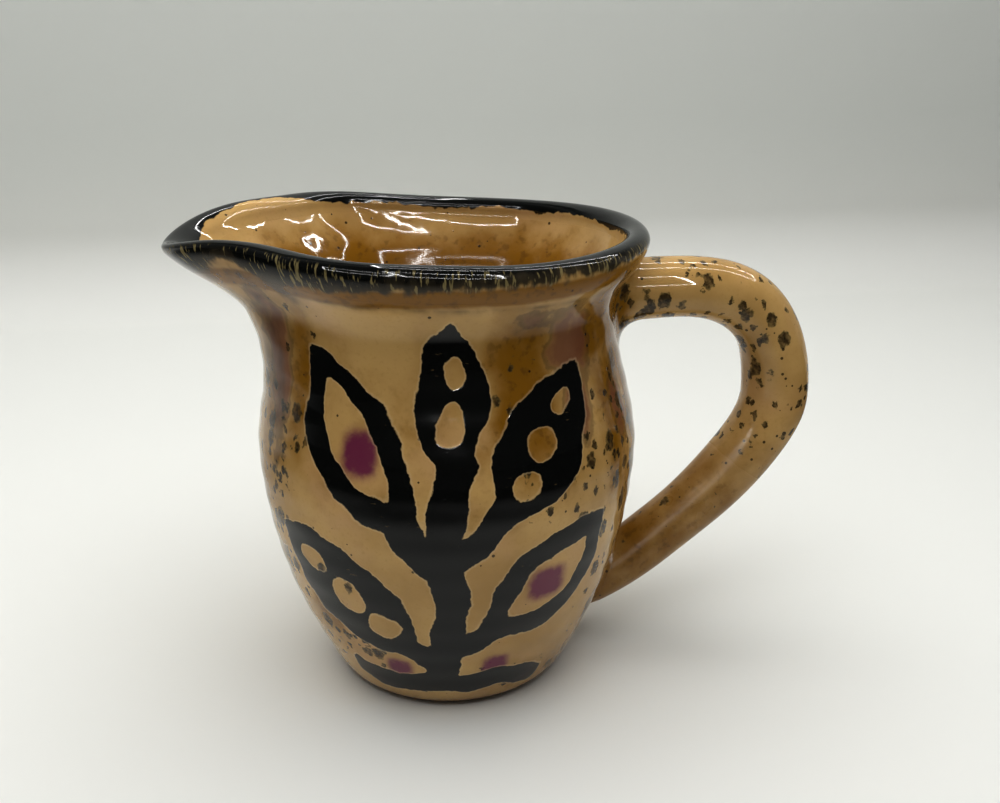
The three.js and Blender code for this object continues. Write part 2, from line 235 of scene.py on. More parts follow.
def skin(name, rings, closed=False, sharp_rows=()):
    """A closed mesh over rings of points, with its layout for painting. Rings that aren't closed into
    a loop end in a middle point at both ends."""
    rows, columns, _ = rings.shape
    corners = [tuple(point) for point in rings.reshape(-1, 3) * MM]
    faces = []
    layout = []
    for row in range(rows if closed else rows - 1):
        this_row = row * columns
        next_row = (row + 1) % rows * columns
        low, high = (row + 1) / (rows + 2), (row + 2) / (rows + 2)
        for column in range(columns):
            beside = (column + 1) % columns
            left, right = column / columns, (column + 1) / columns
            faces.append((this_row + column, this_row + beside, next_row + beside, next_row + column))
            layout += [(left, low), (right, low), (right, high), (left, high)]
    if not closed:
        first, last = len(corners), len(corners) + 1
        corners += [tuple(rings[0].mean(0) * MM), tuple(rings[-1].mean(0) * MM)]
        top_row = (rows - 1) * columns
        low, high = 1 / (rows + 2), rows / (rows + 2)
        for column in range(columns):
            beside = (column + 1) % columns
            left, right = column / columns, (column + 1) / columns
            faces += [(first, beside, column), (last, top_row + column, top_row + beside)]
            layout += [(left, 0), (right, low), (left, low), (left, 1), (left, high), (right, high)]
    mesh = bpy.data.meshes.new(name)
    mesh.from_pydata(corners, [], faces)
    mesh.uv_layers.new(name="OFBake").data.foreach_set("uv", np.array(layout).ravel())
    mesh.shade_smooth()
    if sharp_rows:
        ends = np.zeros(2 * len(mesh.edges), int)
        mesh.edges.foreach_get("vertices", ends)
        edge_rows = ends.reshape(-1, 2) // columns
        sharp = (edge_rows[:, 0] == edge_rows[:, 1]) & np.isin(edge_rows[:, 0], sharp_rows)
        mesh.attributes.new("sharp_edge", "BOOLEAN", "EDGE").data.foreach_set("value", sharp)
    piece = bpy.data.objects.new(name, mesh)
    bpy.context.scene.collection.objects.link(piece)
    return piece


def lay(piece, name, amounts):
    """Lays an amount on each point of a piece, for its glaze to read."""
    amounts = np.asarray(amounts, float)
    width = amounts.shape[-1] if amounts.ndim == 3 else 1
    flat = amounts.reshape(-1, width)
    has_middle_points = len(piece.data.vertices) > len(flat)
    if has_middle_points:
        middles = [row.reshape(-1, width).mean(0) for row in (amounts[0], amounts[-1])]
        flat = np.concatenate([flat, middles])
    kind, slot = ("FLOAT_VECTOR", "vector") if width == 3 else ("FLOAT", "value")
    layer = piece.data.attributes.new(name, kind, "POINT")
    layer.data.foreach_set(slot, flat.ravel())


lip = lip_line(BAND_FOOT, BAND_HEM)
base_middle = outer_radius(FOOT_TOP) - FOOT_ROUNDING * math.cos(FOOT_LEAN_ANGLE)
corner_middle = inner_radius(CORNER_HEIGHT) - FLOOR_ROUNDING
wall_heights = np.linspace(FOOT_TOP, BAND_FOOT, WALL_ROWS)
inside_heights = np.linspace(BAND_HEM, CORNER_HEIGHT, INSIDE_ROWS)
body_parts = [
    points(np.linspace(MIDDLE_RADIUS, base_middle, BASE_ROWS), 0),
    arc(base_middle, FOOT_ROUNDING, FOOT_ROUNDING, -math.pi / 2, -FOOT_LEAN_ANGLE, FOOT_ROWS)[1:-1],
    points(outer_radius(wall_heights), wall_heights),
    move_in(lip, BAND_THICKNESS + HAIRLINE)[::HIDDEN_STEP],
    points(inner_radius(inside_heights), inside_heights),
    arc(corner_middle, CORNER_HEIGHT, FLOOR_ROUNDING, 0, -math.pi / 2, CORNER_ROWS)[1:],
    points(np.linspace(corner_middle, MIDDLE_RADIUS, BASE_ROWS)[1:], FLOOR),
]
body_line = np.concatenate(body_parts)
part_ends = np.cumsum([len(part) for part in body_parts])
rebate_start, inside_start = part_ends[2:4]
body = skin("body", turn(body_line), sharp_rows=(
    rebate_start - 1, rebate_start, inside_start - 1, inside_start,
))

FRONT_ANGLE = math.radians(-97)
UNROLLED_RADIUS = 36


def unroll(angle):
    """The way round the wall from the middle of the front, towards the handle."""
    turned = (angle - FRONT_ANGLE + math.pi) % (2 * math.pi) - math.pi
    return UNROLLED_RADIUS * turned


# Where each point lies: its side of the wall, its height, the way round, and the way down from the lip
is_inside = np.arange(len(body_line)) >= inside_start
lip_reach = crest_reach(lip)
outside_reach = lip_reach[0] + (BAND_FOOT - body_line[:, 1])
inside_reach = lip_reach[-1] - (BAND_HEM - body_line[:, 1])
body_reach = all_round(np.where(is_inside, inside_reach, outside_reach))
body_outside = all_round(np.where(is_inside, 0.0, 1.0))
body_inside = 1 - body_outside
body_height = all_round(body_line[:, 1])
body_angle = turn_angles + 0 * body_height
body_round = unroll(body_angle)

# The sprig on the unrolled front: the paths of its stem and twigs, its leaves from base to tip with
# half their width, the windows left open in two leaves, and the oval seeds left open in the others
SPRIG_STEM = ((-4, 9), (5, 26), (-6, 44), (2, 60))
SPRIG_TWIGS = (
    ((-24, 9), (-13, 5.5), (9, 11), (22, 7)),
    ((-1, 15), (-5, 15), (-8, 17), (-12, 22)),
    ((0, 20), (4, 20), (7, 21), (10, 24)),
    ((-1, 38), (-4, 40), (-7, 43), (-10, 50)),
    ((0, 41), (4, 42), (7, 45), (10, 52)),
)
STEM_HALF_WIDTHS = (3.4, 3.2)
TWIG_HALF_WIDTHS = (3.1, 2.9)
STROKE_STEPS = 40
SPRIG_LEAVES = (
    ((-7, 18), (-35, 42), 9.6), ((6, 21), (32, 44), 9.4), ((-7, 45), (-28, 77), 8.8),
    ((8, 47), (28, 75), 8.4), ((0, 57), (1.5, 85), 7),
)
LEAF_WINDOWS = (((11, 26), (27.5, 40), 4.9), ((-11, 52), (-24.5, 72), 4.5))
LEAF_SEEDS = (
    ((-13.4, 24), 3.9, 3, 150), ((-20.6, 30), 4.3, 3.4, 135), ((-27.8, 36), 3.2, 2.4, 145),
    ((13.2, 53.8), 3.1, 2.4, 55), ((17.8, 61.2), 3.4, 2.7, 52), ((22.6, 68.4), 2.6, 2, 55),
    ((0.6, 66.4), 4, 2.7, 88), ((1.2, 75.6), 2.8, 1.8, 85),
)
UNPAINTED = -20


def smooth_path(start, pull, push, end, steps):
    """Points on a curve that leaves its start towards one point and nears its end from another."""
    share = np.linspace(0, 1, steps)[:, None]
    rest = 1 - share
    start, pull, push, end = [np.array(point, float) for point in (start, pull, push, end)]
    return rest**3 * start + 3 * rest**2 * share * pull + 3 * rest * share**2 * push + share**3 * end


def leaf_depth(across, up, base, tip, half_width):
    """How deep a point lies in an almond-shaped leaf, less than nothing outside it."""
    middle = (np.array(base) + tip) / 2
    along = np.array(tip, float) - base
    half_length = np.linalg.norm(along) / 2
    along /= 2 * half_length
    lengthways = (across - middle[0]) * along[0] + (up - middle[1]) * along[1]
    sideways = (up - middle[1]) * along[0] - (across - middle[0]) * along[1]
    radius = (half_length**2 + half_width**2) / (2 * half_width)
    return radius - np.hypot(lengthways, np.abs(sideways) + radius - half_width)


def oval_depth(across, up, middle, half_length, half_width, slant):
    """How deep a point lies in an oval, less than nothing outside it."""
    lean = math.radians(slant)
    lengthways = (across - middle[0]) * math.cos(lean) + (up - middle[1]) * math.sin(lean)
    sideways = (up - middle[1]) * math.cos(lean) - (across - middle[0]) * math.sin(lean)
    outwards = np.hypot(lengthways / half_length, sideways / half_width)
    steepness = np.hypot(lengthways / half_length**2, sideways / half_width**2)
    return outwards * (1 - outwards) / np.maximum(steepness, 1e-6)


def stroke_depth(across, up, path, half_widths):
    """How deep a point lies in a brush stroke along a smooth path, less than nothing outside it."""
    line = smooth_path(*path, STROKE_STEPS)
    halves = np.linspace(*half_widths, STROKE_STEPS)
    return np.max([half - np.hypot(across - x, up - y) for (x, y), half in zip(line, halves)], axis=0)


def sprig_depth(across, up):
    """How deep a point lies in the black of the sprig, which a loose hand brushed on."""
    wavy_across = across + 0.5 * np.sin(0.31 * up + 1.3) + 0.35 * np.sin(0.7 * across + 0.45 * up)
    wavy_up = up + 0.45 * np.sin(0.33 * across + 0.6) + 0.3 * np.sin(0.8 * up - 0.5 * across)
    place = (wavy_across, wavy_up)
    black = stroke_depth(*place, SPRIG_STEM, STEM_HALF_WIDTHS)
    for twig in SPRIG_TWIGS:
        black = np.maximum(black, stroke_depth(*place, twig, TWIG_HALF_WIDTHS))
    for leaf in SPRIG_LEAVES:
        black = np.maximum(black, leaf_depth(*place, *leaf))
    for window in LEAF_WINDOWS:
        black = np.minimum(black, -leaf_depth(*place, *window))
    for seed in LEAF_SEEDS:
        black = np.minimum(black, -oval_depth(*place, *seed))
    return black


# Dabs and washes of colour on the unrolled wall. Each is the way round to its middle, its height, half
# its width, half its height and its strength. The squareness says how full its corners are
DAB_FALL = 0.7
PURPLE_SQUARENESS = 3.2
PURPLE_DABS = (
    (18.7, 32.5, 3.8, 3.4, 1), (-16, 60, 3.2, 4, 1), (10, 13.2, 3, 2.6, 0.9), (-12.5, 12.4, 3, 2.4, 0.9),
)
AMBER_SQUARENESS = 2.4
AMBER_WASHES_AND_SHADE = (
    (-30.5, 71, 3.8, 15, 0.8), (-41, 64, 4, 13, 0.7), (15, 71, 7, 16, 1), (45, 76, 7, 12, 1),
    (38, 63, 6, 18, 0.9), (48, 38, 8, 30, 0.8), (-46, 30, 8, 24, 0.5), (-28, 25, 6, 10, 0.75),
    (28, 6, 18, 6, 0.5), (70, 62, 12, 22, 0.6), (-88, 64, 12, 20, 0.7), (100, 40, 14, 30, 0.5),
    (-70, 74, 6, 14, 0.5), (47, 62, 4, 14, 0.9), (55, 64, 8, 24, 1), (61, 12, 10, 13, 0.7),
    # The broad, faint wash at the middle of the front is painted shade on the upper belly
    (0, 62, 50, 22, 0.36), (36, 82, 7, 9, 1.1),
)
MAUVE_SQUARENESS = 2.2
MAUVE_WASHES = (
    (27, 78.5, 5.6, 6.4, 1), (27, 66, 3.6, 5.6, 1), (19, 84.6, 6, 2.6, 0.6), (-37, 72, 3.4, 15, 1),
    (-38, 80, 5, 7, 0.75), (40.5, 63.5, 3.4, 7, 0.9), (80, 66, 7, 9, 0.9), (-84, 40, 7, 10, 0.85),
    (96, 74, 8, 6, 0.8),
)
SPECKLES = (
    (-36, 57, 7, 10, 1.3), (-40, 46, 7, 12, 1.3), (-38, 31, 7, 10, 1.2), (-24, 16.5, 8, 5, 1.2),
    (-23, 33, 4, 5, 0.8), (24, 52, 11, 9, 0.9), (33, 34, 6, 10, 0.7), (38, 58, 8, 11, 1.1),
    (40, 44, 6, 9, 0.9), (-30, 78, 6, 8, 0.6), (11, 72, 6, 8, 0.5), (56, 30, 20, 26, 0.7),
    (-62, 40, 18, 30, 0.8), (90, 48, 20, 30, 0.7), (-96, 26, 20, 24, 0.7), (0, 8, 50, 5, 0.4),
)
STRAY_SPECKLES = 0.12
SMOKE_STREAKS = (
    (-31, 88.5, 6, 4.5, 0.8), (-45, 88, 8, 6, 0.65), (19, 84, 7, 3, 0.3), (42, 71, 1.6, 2.2, 0.9),
    (-37, 68, 2.4, 12, 0.7), (-43, 76, 5, 13, 0.6), (-37.5, 81, 4, 6, 0.75), (6, 87.2, 30, 0.5, 0.6),
)
STRIPE_LEVEL = 89.9
STRIPE_HALF = 1.9
STRIPE_SLANT = 1.4
STRIPE_STRENGTH = 0.85
STRIPE_FRONT_GAIN = 0.35


def dabs(across, up, list_of_dabs, squareness=4):
    """The strength of soft dabs of colour at a point."""
    strength = np.zeros(across.shape)
    for middle_across, middle_up, half_width, half_height, amount in list_of_dabs:
        sideways = np.abs(across - middle_across) / half_width
        upwards = np.abs(up - middle_up) / half_height
        spread = sideways**squareness + upwards**squareness
        strength = np.maximum(strength, amount * np.exp(-DAB_FALL * spread))
    return strength


def amber_and_shade_amount(across, up):
    """Soft amber washes, one of them painted shade, and a stripe that the brush left under the rim's black.
    """
    turned = across / UNROLLED_RADIUS
    above = (up - STRIPE_LEVEL - STRIPE_SLANT * np.sin(turned)) / STRIPE_HALF
    strength = STRIPE_STRENGTH + STRIPE_FRONT_GAIN * np.cos(turned)
    stripe = strength * np.exp(-DAB_FALL * above**4)
    return np.maximum(stripe, dabs(across, up, AMBER_WASHES_AND_SHADE, AMBER_SQUARENESS))


# Inside, amber is painted deeper down the throat as painted shade, and the glaze is lumpy below the lip
# and satin on the far wall. The base is bare, with a rust line where the glaze ends
INSIDE_SHADE_TOP = 94
INSIDE_SHADE_DEEPENING = 12
LUMPY_TOP = 89
LUMPY_START = 3
SATIN_TOP = 89.5
SATIN_START = 8
SATIN_MOST = 0.4
SATIN_ANGLE = 1.1
SATIN_SPREAD = 0.8
GLAZE_FOOT = 0.9
GLAZE_FOOT_FADE = 0.5
RUST_SPREAD = 1.5

painted = sprig_depth(body_round, body_height)
lay(body, "brushed_black", np.where(body_outside > 0, painted, UNPAINTED))
lay(body, "purple", body_outside * dabs(body_round, body_height, PURPLE_DABS, PURPLE_SQUARENESS))
outside_amber_and_shade = amber_and_shade_amount(body_round, body_height)
# Painted shade: inside, the amber is painted deeper the further down the throat a point lies
inside_painted_shade = np.clip((INSIDE_SHADE_TOP - body_height) / INSIDE_SHADE_DEEPENING, 0, 1)
lay(body, "amber_and_shade", np.where(body_outside > 0, outside_amber_and_shade, inside_painted_shade))
lay(body, "mauve", body_outside * dabs(body_round, body_height, MAUVE_WASHES, MAUVE_SQUARENESS))
lay(body, "speckle", STRAY_SPECKLES + body_outside * dabs(body_round, body_height, SPECKLES))
lay(body, "smoke", body_outside * dabs(body_round, body_height, SMOKE_STREAKS))
lay(body, "lumpy", body_inside * np.clip((LUMPY_TOP - body_height) / LUMPY_START, 0, 1))
far_wall = body_inside * bell(body_angle - SATIN_ANGLE, SATIN_SPREAD)
lay(body, "satin", far_wall * np.clip((SATIN_TOP - body_height) / SATIN_START, 0, SATIN_MOST))
lay(body, "bare", body_outside * np.clip((GLAZE_FOOT - body_height) / GLAZE_FOOT_FADE, 0, 1))
lay(body, "rust", body_outside * bell(body_height - GLAZE_FOOT, RUST_SPREAD))

# How far the rim's black comes down from the crest, with the places where the brush went further or
# fell short: the angle of each, or its angle from the spout on both sides, its spread and its gain
BLACK_OUTSIDE = 4.7
BLACK_OUTSIDE_RIPPLE = 0.25
BLACK_OUTSIDE_SWELLS = ((-2.41, 0.55, 2.9), (-0.66, 0.5, -0.7), (-2.7, 0.12, -2.6))
BLACK_OUTSIDE_AT_SPOUT = ((0, 0.3, 4),)
BLACK_INSIDE = 3.5
BLACK_INSIDE_RIPPLE = 0.3
BLACK_INSIDE_SWELLS = ((0.2, 0.2, 0.9),)
BLACK_INSIDE_AT_SPOUT = ((0.5, 0.33, -2.6), (0, 0.12, 3))


def swells(angle, list_of_swells):
    return sum(gain * bell(angle - middle, spread) for middle, spread, gain in list_of_swells)


def black_depth(reach, angle):
    """How far a point lies in from the edge of the rim's black, outside and inside the mouth."""
    from_spout = math.pi - np.abs(angle)
    edge_outside = BLACK_OUTSIDE + BLACK_OUTSIDE_RIPPLE * np.sin(7 * angle + 0.6)
    edge_outside = edge_outside + swells(angle, BLACK_OUTSIDE_SWELLS)
    edge_outside = edge_outside + swells(from_spout, BLACK_OUTSIDE_AT_SPOUT)
    edge_inside = BLACK_INSIDE + BLACK_INSIDE_RIPPLE * np.sin(9 * angle + 1.1)
    edge_inside = edge_inside + swells(angle, BLACK_INSIDE_SWELLS)
    edge_inside = edge_inside + swells(from_spout, BLACK_INSIDE_AT_SPOUT)
    return np.where(reach >= 0, edge_outside - reach, edge_inside + reach)


def lay_rim(piece, reach, angle):
    """Lays the depth of the rim's black on a piece, and the way round and down for its brush marks."""
    way = [BELLY_RADIUS * np.cos(angle), BELLY_RADIUS * np.sin(angle), reach]
    lay(piece, "rim_black", black_depth(reach, angle))
    lay(piece, "rim_way", np.stack(way, axis=-1))


lay_rim(body, body_reach, body_angle)


def put(tree, kind, sockets=None, **settings):
    """Puts a node in a tree. A socket's value is a plain value or the output that it is fed from."""
    node = tree.nodes.new(kind)
    for name, value in settings.items():
        setattr(node, name, value)
    for name, value in (sockets or {}).items():
        if isinstance(value, bpy.types.NodeSocket):
            tree.links.new(value, node.inputs[name])
        else:
            node.inputs[name].default_value = value
    return node


def work_out(tree, operation, *values):
    node = put(tree, "ShaderNodeMath", dict(enumerate(values)), operation=operation)
    return node.outputs[0]


def between(tree, value, low, high, to_low=0.0, to_high=1.0):
    """Eases from one amount to another while a value goes from low to high."""
    sockets = {"Value": value, "From Min": low, "From Max": high, "To Min": to_low, "To Max": to_high}
    return put(tree, "ShaderNodeMapRange", sockets, interpolation_type="SMOOTHSTEP").outputs[0]


def over(tree, amount, under_colour, over_colour):
    """One colour over another, by an amount."""
    node = put(tree, "ShaderNodeMix", {0: amount, 6: under_colour, 7: over_colour}, data_type="RGBA")
    return node.outputs[2]


def grain(tree, where, size, detail=2.0, stretch=None):
    """Soft noise, with features of a size in millimetres."""
    if stretch:
        where = put(tree, "ShaderNodeMapping", {"Vector": where, "Scale": stretch}).outputs[0]
    sockets = {"Vector": where, "Scale": 1 / size, "Detail": detail}
    return put(tree, "ShaderNodeTexNoise", sockets).outputs["Fac"]


def cells(tree, where, size, randomness=1.0):
    """Cells of a size in millimetres: the distance from each one's middle, and its own chances."""
    sockets = {"Vector": where, "Scale": 1 / size, "Randomness": randomness}
    cell = put(tree, "ShaderNodeTexVoronoi", sockets).outputs
    chances = put(tree, "ShaderNodeSeparateColor", {"Color": cell["Color"]}).outputs
    return cell["Distance"], chances


def amount_of(tree, name):
    return put(tree, "ShaderNodeAttribute", attribute_name=name).outputs["Fac"]


def millimetres(tree):
    """The place of a point in millimetres."""
    place = put(tree, "ShaderNodeTexCoord").outputs["Object"]
    node = put(tree, "ShaderNodeVectorMath", {0: place, "Scale": 1 / MM}, operation="SCALE")
    return node.outputs[0]


def axes(tree, vector):
    return put(tree, "ShaderNodeSeparateXYZ", {"Vector": vector}).outputs


def paint(code):
    """A colour as seen, from six hexadecimal digits."""
    seen = [int(code[start:start + 2], 16) / 255 for start in (0, 2, 4)]
    return tuple(c / 12.92 if c <= 0.04045 else ((c + 0.055) / 1.055) ** 2.4 for c in seen) + (1,)


def new_group(name, outputs):
    tree = bpy.data.node_groups.new(name, "ShaderNodeTree")
    for output_name, kind in outputs:
        tree.interface.new_socket(output_name, in_out="OUTPUT", socket_type=kind)
    return tree


# The tan glaze that every piece wears: straw and caramel clouds, washes, oval speckles and pinholes
STRAW = paint("c4a168")
CARAMEL = paint("a98650")
ROSY_TAN = paint("c29b72")
AMBER = paint("835a14")
BROWN = paint("573a16")
MAUVE = paint("744838")
SMOKE = paint("2b2620")
OLIVE = paint("5a4f30")
OLIVE_EDGE = paint("2c2213")
PINHOLE = paint("1b130b")
SPECKLE_CELLS = ((4.4, 13), (2.4, 40))
SPECKLE_RADIUS = 0.36
SATIN_ROUGHNESS = 0.24

tan_glaze = new_group("tan_glaze", (
    ("Color", "NodeSocketColor"), ("Roughness", "NodeSocketFloat"), ("Height", "NodeSocketFloat"),
))
tree = tan_glaze
where = millimetres(tree)
clouds = grain(tree, where, size=22, detail=4)
colour = over(tree, between(tree, clouds, 0.35, 0.7), STRAW, CARAMEL)
rosy = between(tree, grain(tree, where, size=15, detail=3), 0.5, 0.75, 0, 0.45)
colour = over(tree, rosy, colour, ROSY_TAN)
freckles = between(tree, grain(tree, where, size=0.7, detail=3), 0.5, 0.8, 0, 0.35)
colour = over(tree, freckles, colour, CARAMEL)

# The amber layer carries real amber washes and also painted shade: down the throat, down the handle, in the
# handle's creases and over the front's upper belly
amber_blots = grain(tree, where, size=7, detail=6)
amber_reach = work_out(tree, "MULTIPLY_ADD", amber_blots, 0.9, amount_of(tree, "amber_and_shade"))
amber_and_shade = between(tree, amber_reach, 0.62, 1.35)
colour = over(tree, amber_and_shade, colour, AMBER)
mottles = between(tree, grain(tree, where, size=1.7, detail=5), 0.53, 0.68, 0, 0.5)
colour = over(tree, work_out(tree, "MULTIPLY", mottles, amber_and_shade), colour, BROWN)

# Mauve, with a dark pool of glaze along its edge
mauve_blots = grain(tree, where, size=4.5, detail=6)
mauve_reach = work_out(tree, "MULTIPLY_ADD", mauve_blots, 1.1, amount_of(tree, "mauve"))
mauve = between(tree, mauve_reach, 0.92, 1.35, 0, 0.8)
colour = over(tree, mauve, colour, MAUVE)
pool_start = between(tree, mauve_reach, 0.9, 1)
pool_end = between(tree, mauve_reach, 1.02, 1.2, 0.36, 0)
colour = over(tree, work_out(tree, "MULTIPLY", pool_start, pool_end), colour, SMOKE)
streaks = between(tree, grain(tree, where, size=5, detail=4, stretch=(1, 1, 0.3)), 0.3, 0.7)
smoke = work_out(tree, "MULTIPLY", amount_of(tree, "smoke"), streaks)
colour = over(tree, smoke, colour, SMOKE)

# Speckles: ragged ovals of olive with a darker core, in cells of two sizes, each with its own shift
drift = put(tree, "ShaderNodeTexNoise", {"Vector": where, "Scale": 0.75, "Detail": 4.0}).outputs["Color"]
ragged = put(tree, "ShaderNodeVectorMath", {
    0: drift, 1: (2.3, 2.3, 2.3), 2: where,
}, operation="MULTIPLY_ADD").outputs[0]
thick = grain(tree, where, size=1.1, detail=4)
cover = between(tree, thick, 0.3, 0.6, 0.62, 0.95)
speckle_amount = amount_of(tree, "speckle")
for cell_size, shift in SPECKLE_CELLS:
    shifted = put(tree, "ShaderNodeMapping", {
        "Vector": ragged, "Location": (shift, shift, shift), "Scale": (1, 1, 0.72),
    }).outputs[0]
    distance, chances = cells(tree, shifted, cell_size, randomness=0.85)
    chosen = work_out(tree, "SUBTRACT", speckle_amount, chances["Red"])
    spot_radius = between(tree, chosen, 0, 0.5, 0, SPECKLE_RADIUS)
    depth = work_out(tree, "SUBTRACT", spot_radius, distance)
    spot = work_out(tree, "MULTIPLY", between(tree, depth, 0, 0.06), cover)
    core = between(tree, work_out(tree, "MULTIPLY_ADD", thick, 0.22, depth), 0.12, 0.24)
    colour = over(tree, spot, colour, over(tree, core, OLIVE, OLIVE_EDGE))

# Pinholes, the slow swell of the glaze, and its gloss
distance, chances = cells(tree, where, size=1.8)
pit_size = between(tree, chances["Green"], 0.68, 1, 0, 0.2)
pit = between(tree, work_out(tree, "SUBTRACT", pit_size, distance), 0, 0.04)
colour = over(tree, work_out(tree, "MULTIPLY", pit, 0.85), colour, PINHOLE)
swell = between(tree, grain(tree, where, size=9), 0, 1)
height = work_out(tree, "MULTIPLY_ADD", pit, -0.25, swell)
gloss = between(tree, clouds, 0.2, 0.8, 0.03, 0.07)
roughness = work_out(tree, "MULTIPLY_ADD", amount_of(tree, "satin"), SATIN_ROUGHNESS, gloss)
put(tree, "NodeGroupOutput", {"Color": colour, "Roughness": roughness, "Height": height})

# The rim's black: brushed on round the lip, so its edges are feathered and flecked along the brush
INK = paint("0d0e0d")
THIN_BLACK = paint("40382a")
FLECK_GOLD = paint("8f8158")
rim_black = new_group("rim_black", (("Color", "NodeSocketColor"), ("Mask", "NodeSocketFloat")))
tree = rim_black
rim_way = put(tree, "ShaderNodeAttribute", attribute_name="rim_way").outputs["Vector"]
outwards = between(tree, axes(tree, rim_way)["Z"], 1.2, 2.4)
tide = work_out(tree, "SUBTRACT", grain(tree, rim_way, size=3, detail=5), 0.5)
frayed = work_out(tree, "MULTIPLY_ADD", tide, 3, amount_of(tree, "rim_black"))
bristles = work_out(tree, "SUBTRACT", grain(tree, rim_way, size=1.5, stretch=(1, 1, 0.3)), 0.5)
feather = work_out(tree, "MULTIPLY", bristles, outwards)
frayed = work_out(tree, "MULTIPLY_ADD", feather, 2.2, frayed)
softness = between(tree, outwards, 0, 1, 0.15, 0.7)
mask = between(tree, frayed, work_out(tree, "MULTIPLY", softness, -1), softness)
thinned = work_out(tree, "MULTIPLY", between(tree, frayed, 0.3, 3.2, 0.9, 0), outwards)
colour = over(tree, thinned, INK, THIN_BLACK)
brush_marks = grain(tree, rim_way, size=0.55, stretch=(1, 1, 0.2))
crowded = between(tree, grain(tree, rim_way, size=11, detail=1), 0.38, 0.6, 0.63, 0.53)
flecks = between(tree, work_out(tree, "SUBTRACT", brush_marks, crowded), 0, 0.08, 0, 0.75)
colour = over(tree, work_out(tree, "MULTIPLY", flecks, outwards), colour, FLECK_GOLD)
put(tree, "NodeGroupOutput", {"Color": colour, "Mask": mask})

GLAZE_IOR = 1.52
GLAZE_SHINE = 0.36
GLAZE_RELIEF = 0.12 * MM
GLAZE_RELIEF_SHARE = 0.6


def new_glaze(name):
    """A new glaze: its material, its node tree, and the tan glaze that is its ground."""
    glaze = bpy.data.materials.new(name)
    glaze.use_nodes = True
    tree = glaze.node_tree
    return glaze, tree, put(tree, "ShaderNodeGroup", node_tree=tan_glaze).outputs


def fire(tree, colour, roughness, relief):
    """Joins a glaze's colour, roughness and relief to its shader."""
    shader = tree.nodes["Principled BSDF"]
    shader.inputs["IOR"].default_value = GLAZE_IOR
    shader.inputs["Specular IOR Level"].default_value = GLAZE_SHINE
    bump = put(tree, "ShaderNodeBump", {
        "Height": relief, "Distance": GLAZE_RELIEF, "Strength": GLAZE_RELIEF_SHARE,
    })
    tree.links.new(colour, shader.inputs["Base Color"])
    tree.links.new(roughness, shader.inputs["Roughness"])
    tree.links.new(bump.outputs["Normal"], shader.inputs["Normal"])


# The body's own glaze: purple dabs, the black sprig with a painted highlight round its edge, the rim's
# black where it runs over the band's edges, and the bare base
PURPLE = paint("6a2247")
PALE_EDGE_HIGHLIGHT = paint("dcc59c")
BARE_CLAY = paint("a98a6c")
DARK_CLAY = paint("8d6c50")
RUST = paint("6e4327")
glazed_body, tree, ground = new_glaze("glazed_body")
where = millimetres(tree)
worn = grain(tree, where, size=1.6, detail=3)
purple_wear = between(tree, worn, 0.2, 0.7, 0.8, 1.1)
purple = work_out(tree, "MULTIPLY", amount_of(tree, "purple"), purple_wear)
colour = over(tree, between(tree, purple, 0.1, 0.8, 0, 0.94), ground["Color"], PURPLE)
uneven_edge = work_out(tree, "SUBTRACT", grain(tree, where, size=1.3, detail=3), 0.5)
brush_depth = work_out(tree, "MULTIPLY_ADD", uneven_edge, 0.9, amount_of(tree, "brushed_black"))
# A painted highlight: a pale line round the sprig's black, where the glaze steps
colour = over(tree, between(tree, brush_depth, -0.5, -0.1, 0, 0.3), colour, PALE_EDGE_HIGHLIGHT)
brushed = between(tree, brush_depth, -0.12, 0.12)
dry_brush = grain(tree, where, size=2.4, detail=5, stretch=(1, 1, 3.2))
brush_colour = over(tree, between(tree, dry_brush, 0.7, 0.78, 0, 0.16), INK, STRAW)
colour = over(tree, brushed, colour, brush_colour)
rim = put(tree, "ShaderNodeGroup", node_tree=rim_black).outputs
colour = over(tree, rim["Mask"], colour, rim["Color"])
rust_wear = between(tree, worn, 0.2, 0.7, 0.4, 0.8)
rust = work_out(tree, "MULTIPLY", amount_of(tree, "rust"), rust_wear)
colour = over(tree, rust, colour, RUST)
bare = amount_of(tree, "bare")
clay = over(tree, grain(tree, where, size=0.8, detail=3), BARE_CLAY, DARK_CLAY)
colour = over(tree, bare, colour, clay)
roughness = work_out(tree, "MULTIPLY_ADD", brushed, 0.06, ground["Roughness"])
roughness = work_out(tree, "MULTIPLY_ADD", bare, 0.7, roughness)
brush_relief = between(tree, brush_depth, -0.25, 0.25)
relief = work_out(tree, "MULTIPLY_ADD", brush_relief, 0.4, ground["Height"])
lumps = work_out(tree, "MULTIPLY", amount_of(tree, "lumpy"), grain(tree, where, size=3.2))
relief = work_out(tree, "MULTIPLY_ADD", lumps, 0.4, relief)
fire(tree, colour, roughness, relief)
body.data.materials.append(glazed_body)
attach(body, "root")
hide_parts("body")


# Rim band: a thick coat of black glaze, brushed on over the rolled lip inside and out while the jug
# turned on a banding wheel. It thins out over the tan glaze at both of its edges.
band_face = lip_line(BAND_FOOT + HAIRLINE, BAND_HEM + HAIRLINE)
band_back = move_in(band_face, BAND_THICKNESS)[::-HIDDEN_STEP]
band_line = np.concatenate([band_face, band_back])
rim_band = skin("rim_glaze_band", turn(band_line), closed=True, sharp_rows=(
    0, len(band_face) - 1, len(band_face), len(band_line) - 1,
))
face_reach = crest_reach(band_face)
band_reach = all_round(np.concatenate([face_reach, face_reach[::-HIDDEN_STEP]]))
band_angle = turn_angles + 0 * band_reach
band_round = unroll(band_angle)
band_level = BAND_FOOT + lip_reach[0] - band_reach
band_outside = np.where(band_reach >= 0, 1.0, 0.0)
lay_rim(rim_band, band_reach, band_angle)
lay(rim_band, "speckle", STRAY_SPECKLES + 0 * band_angle)
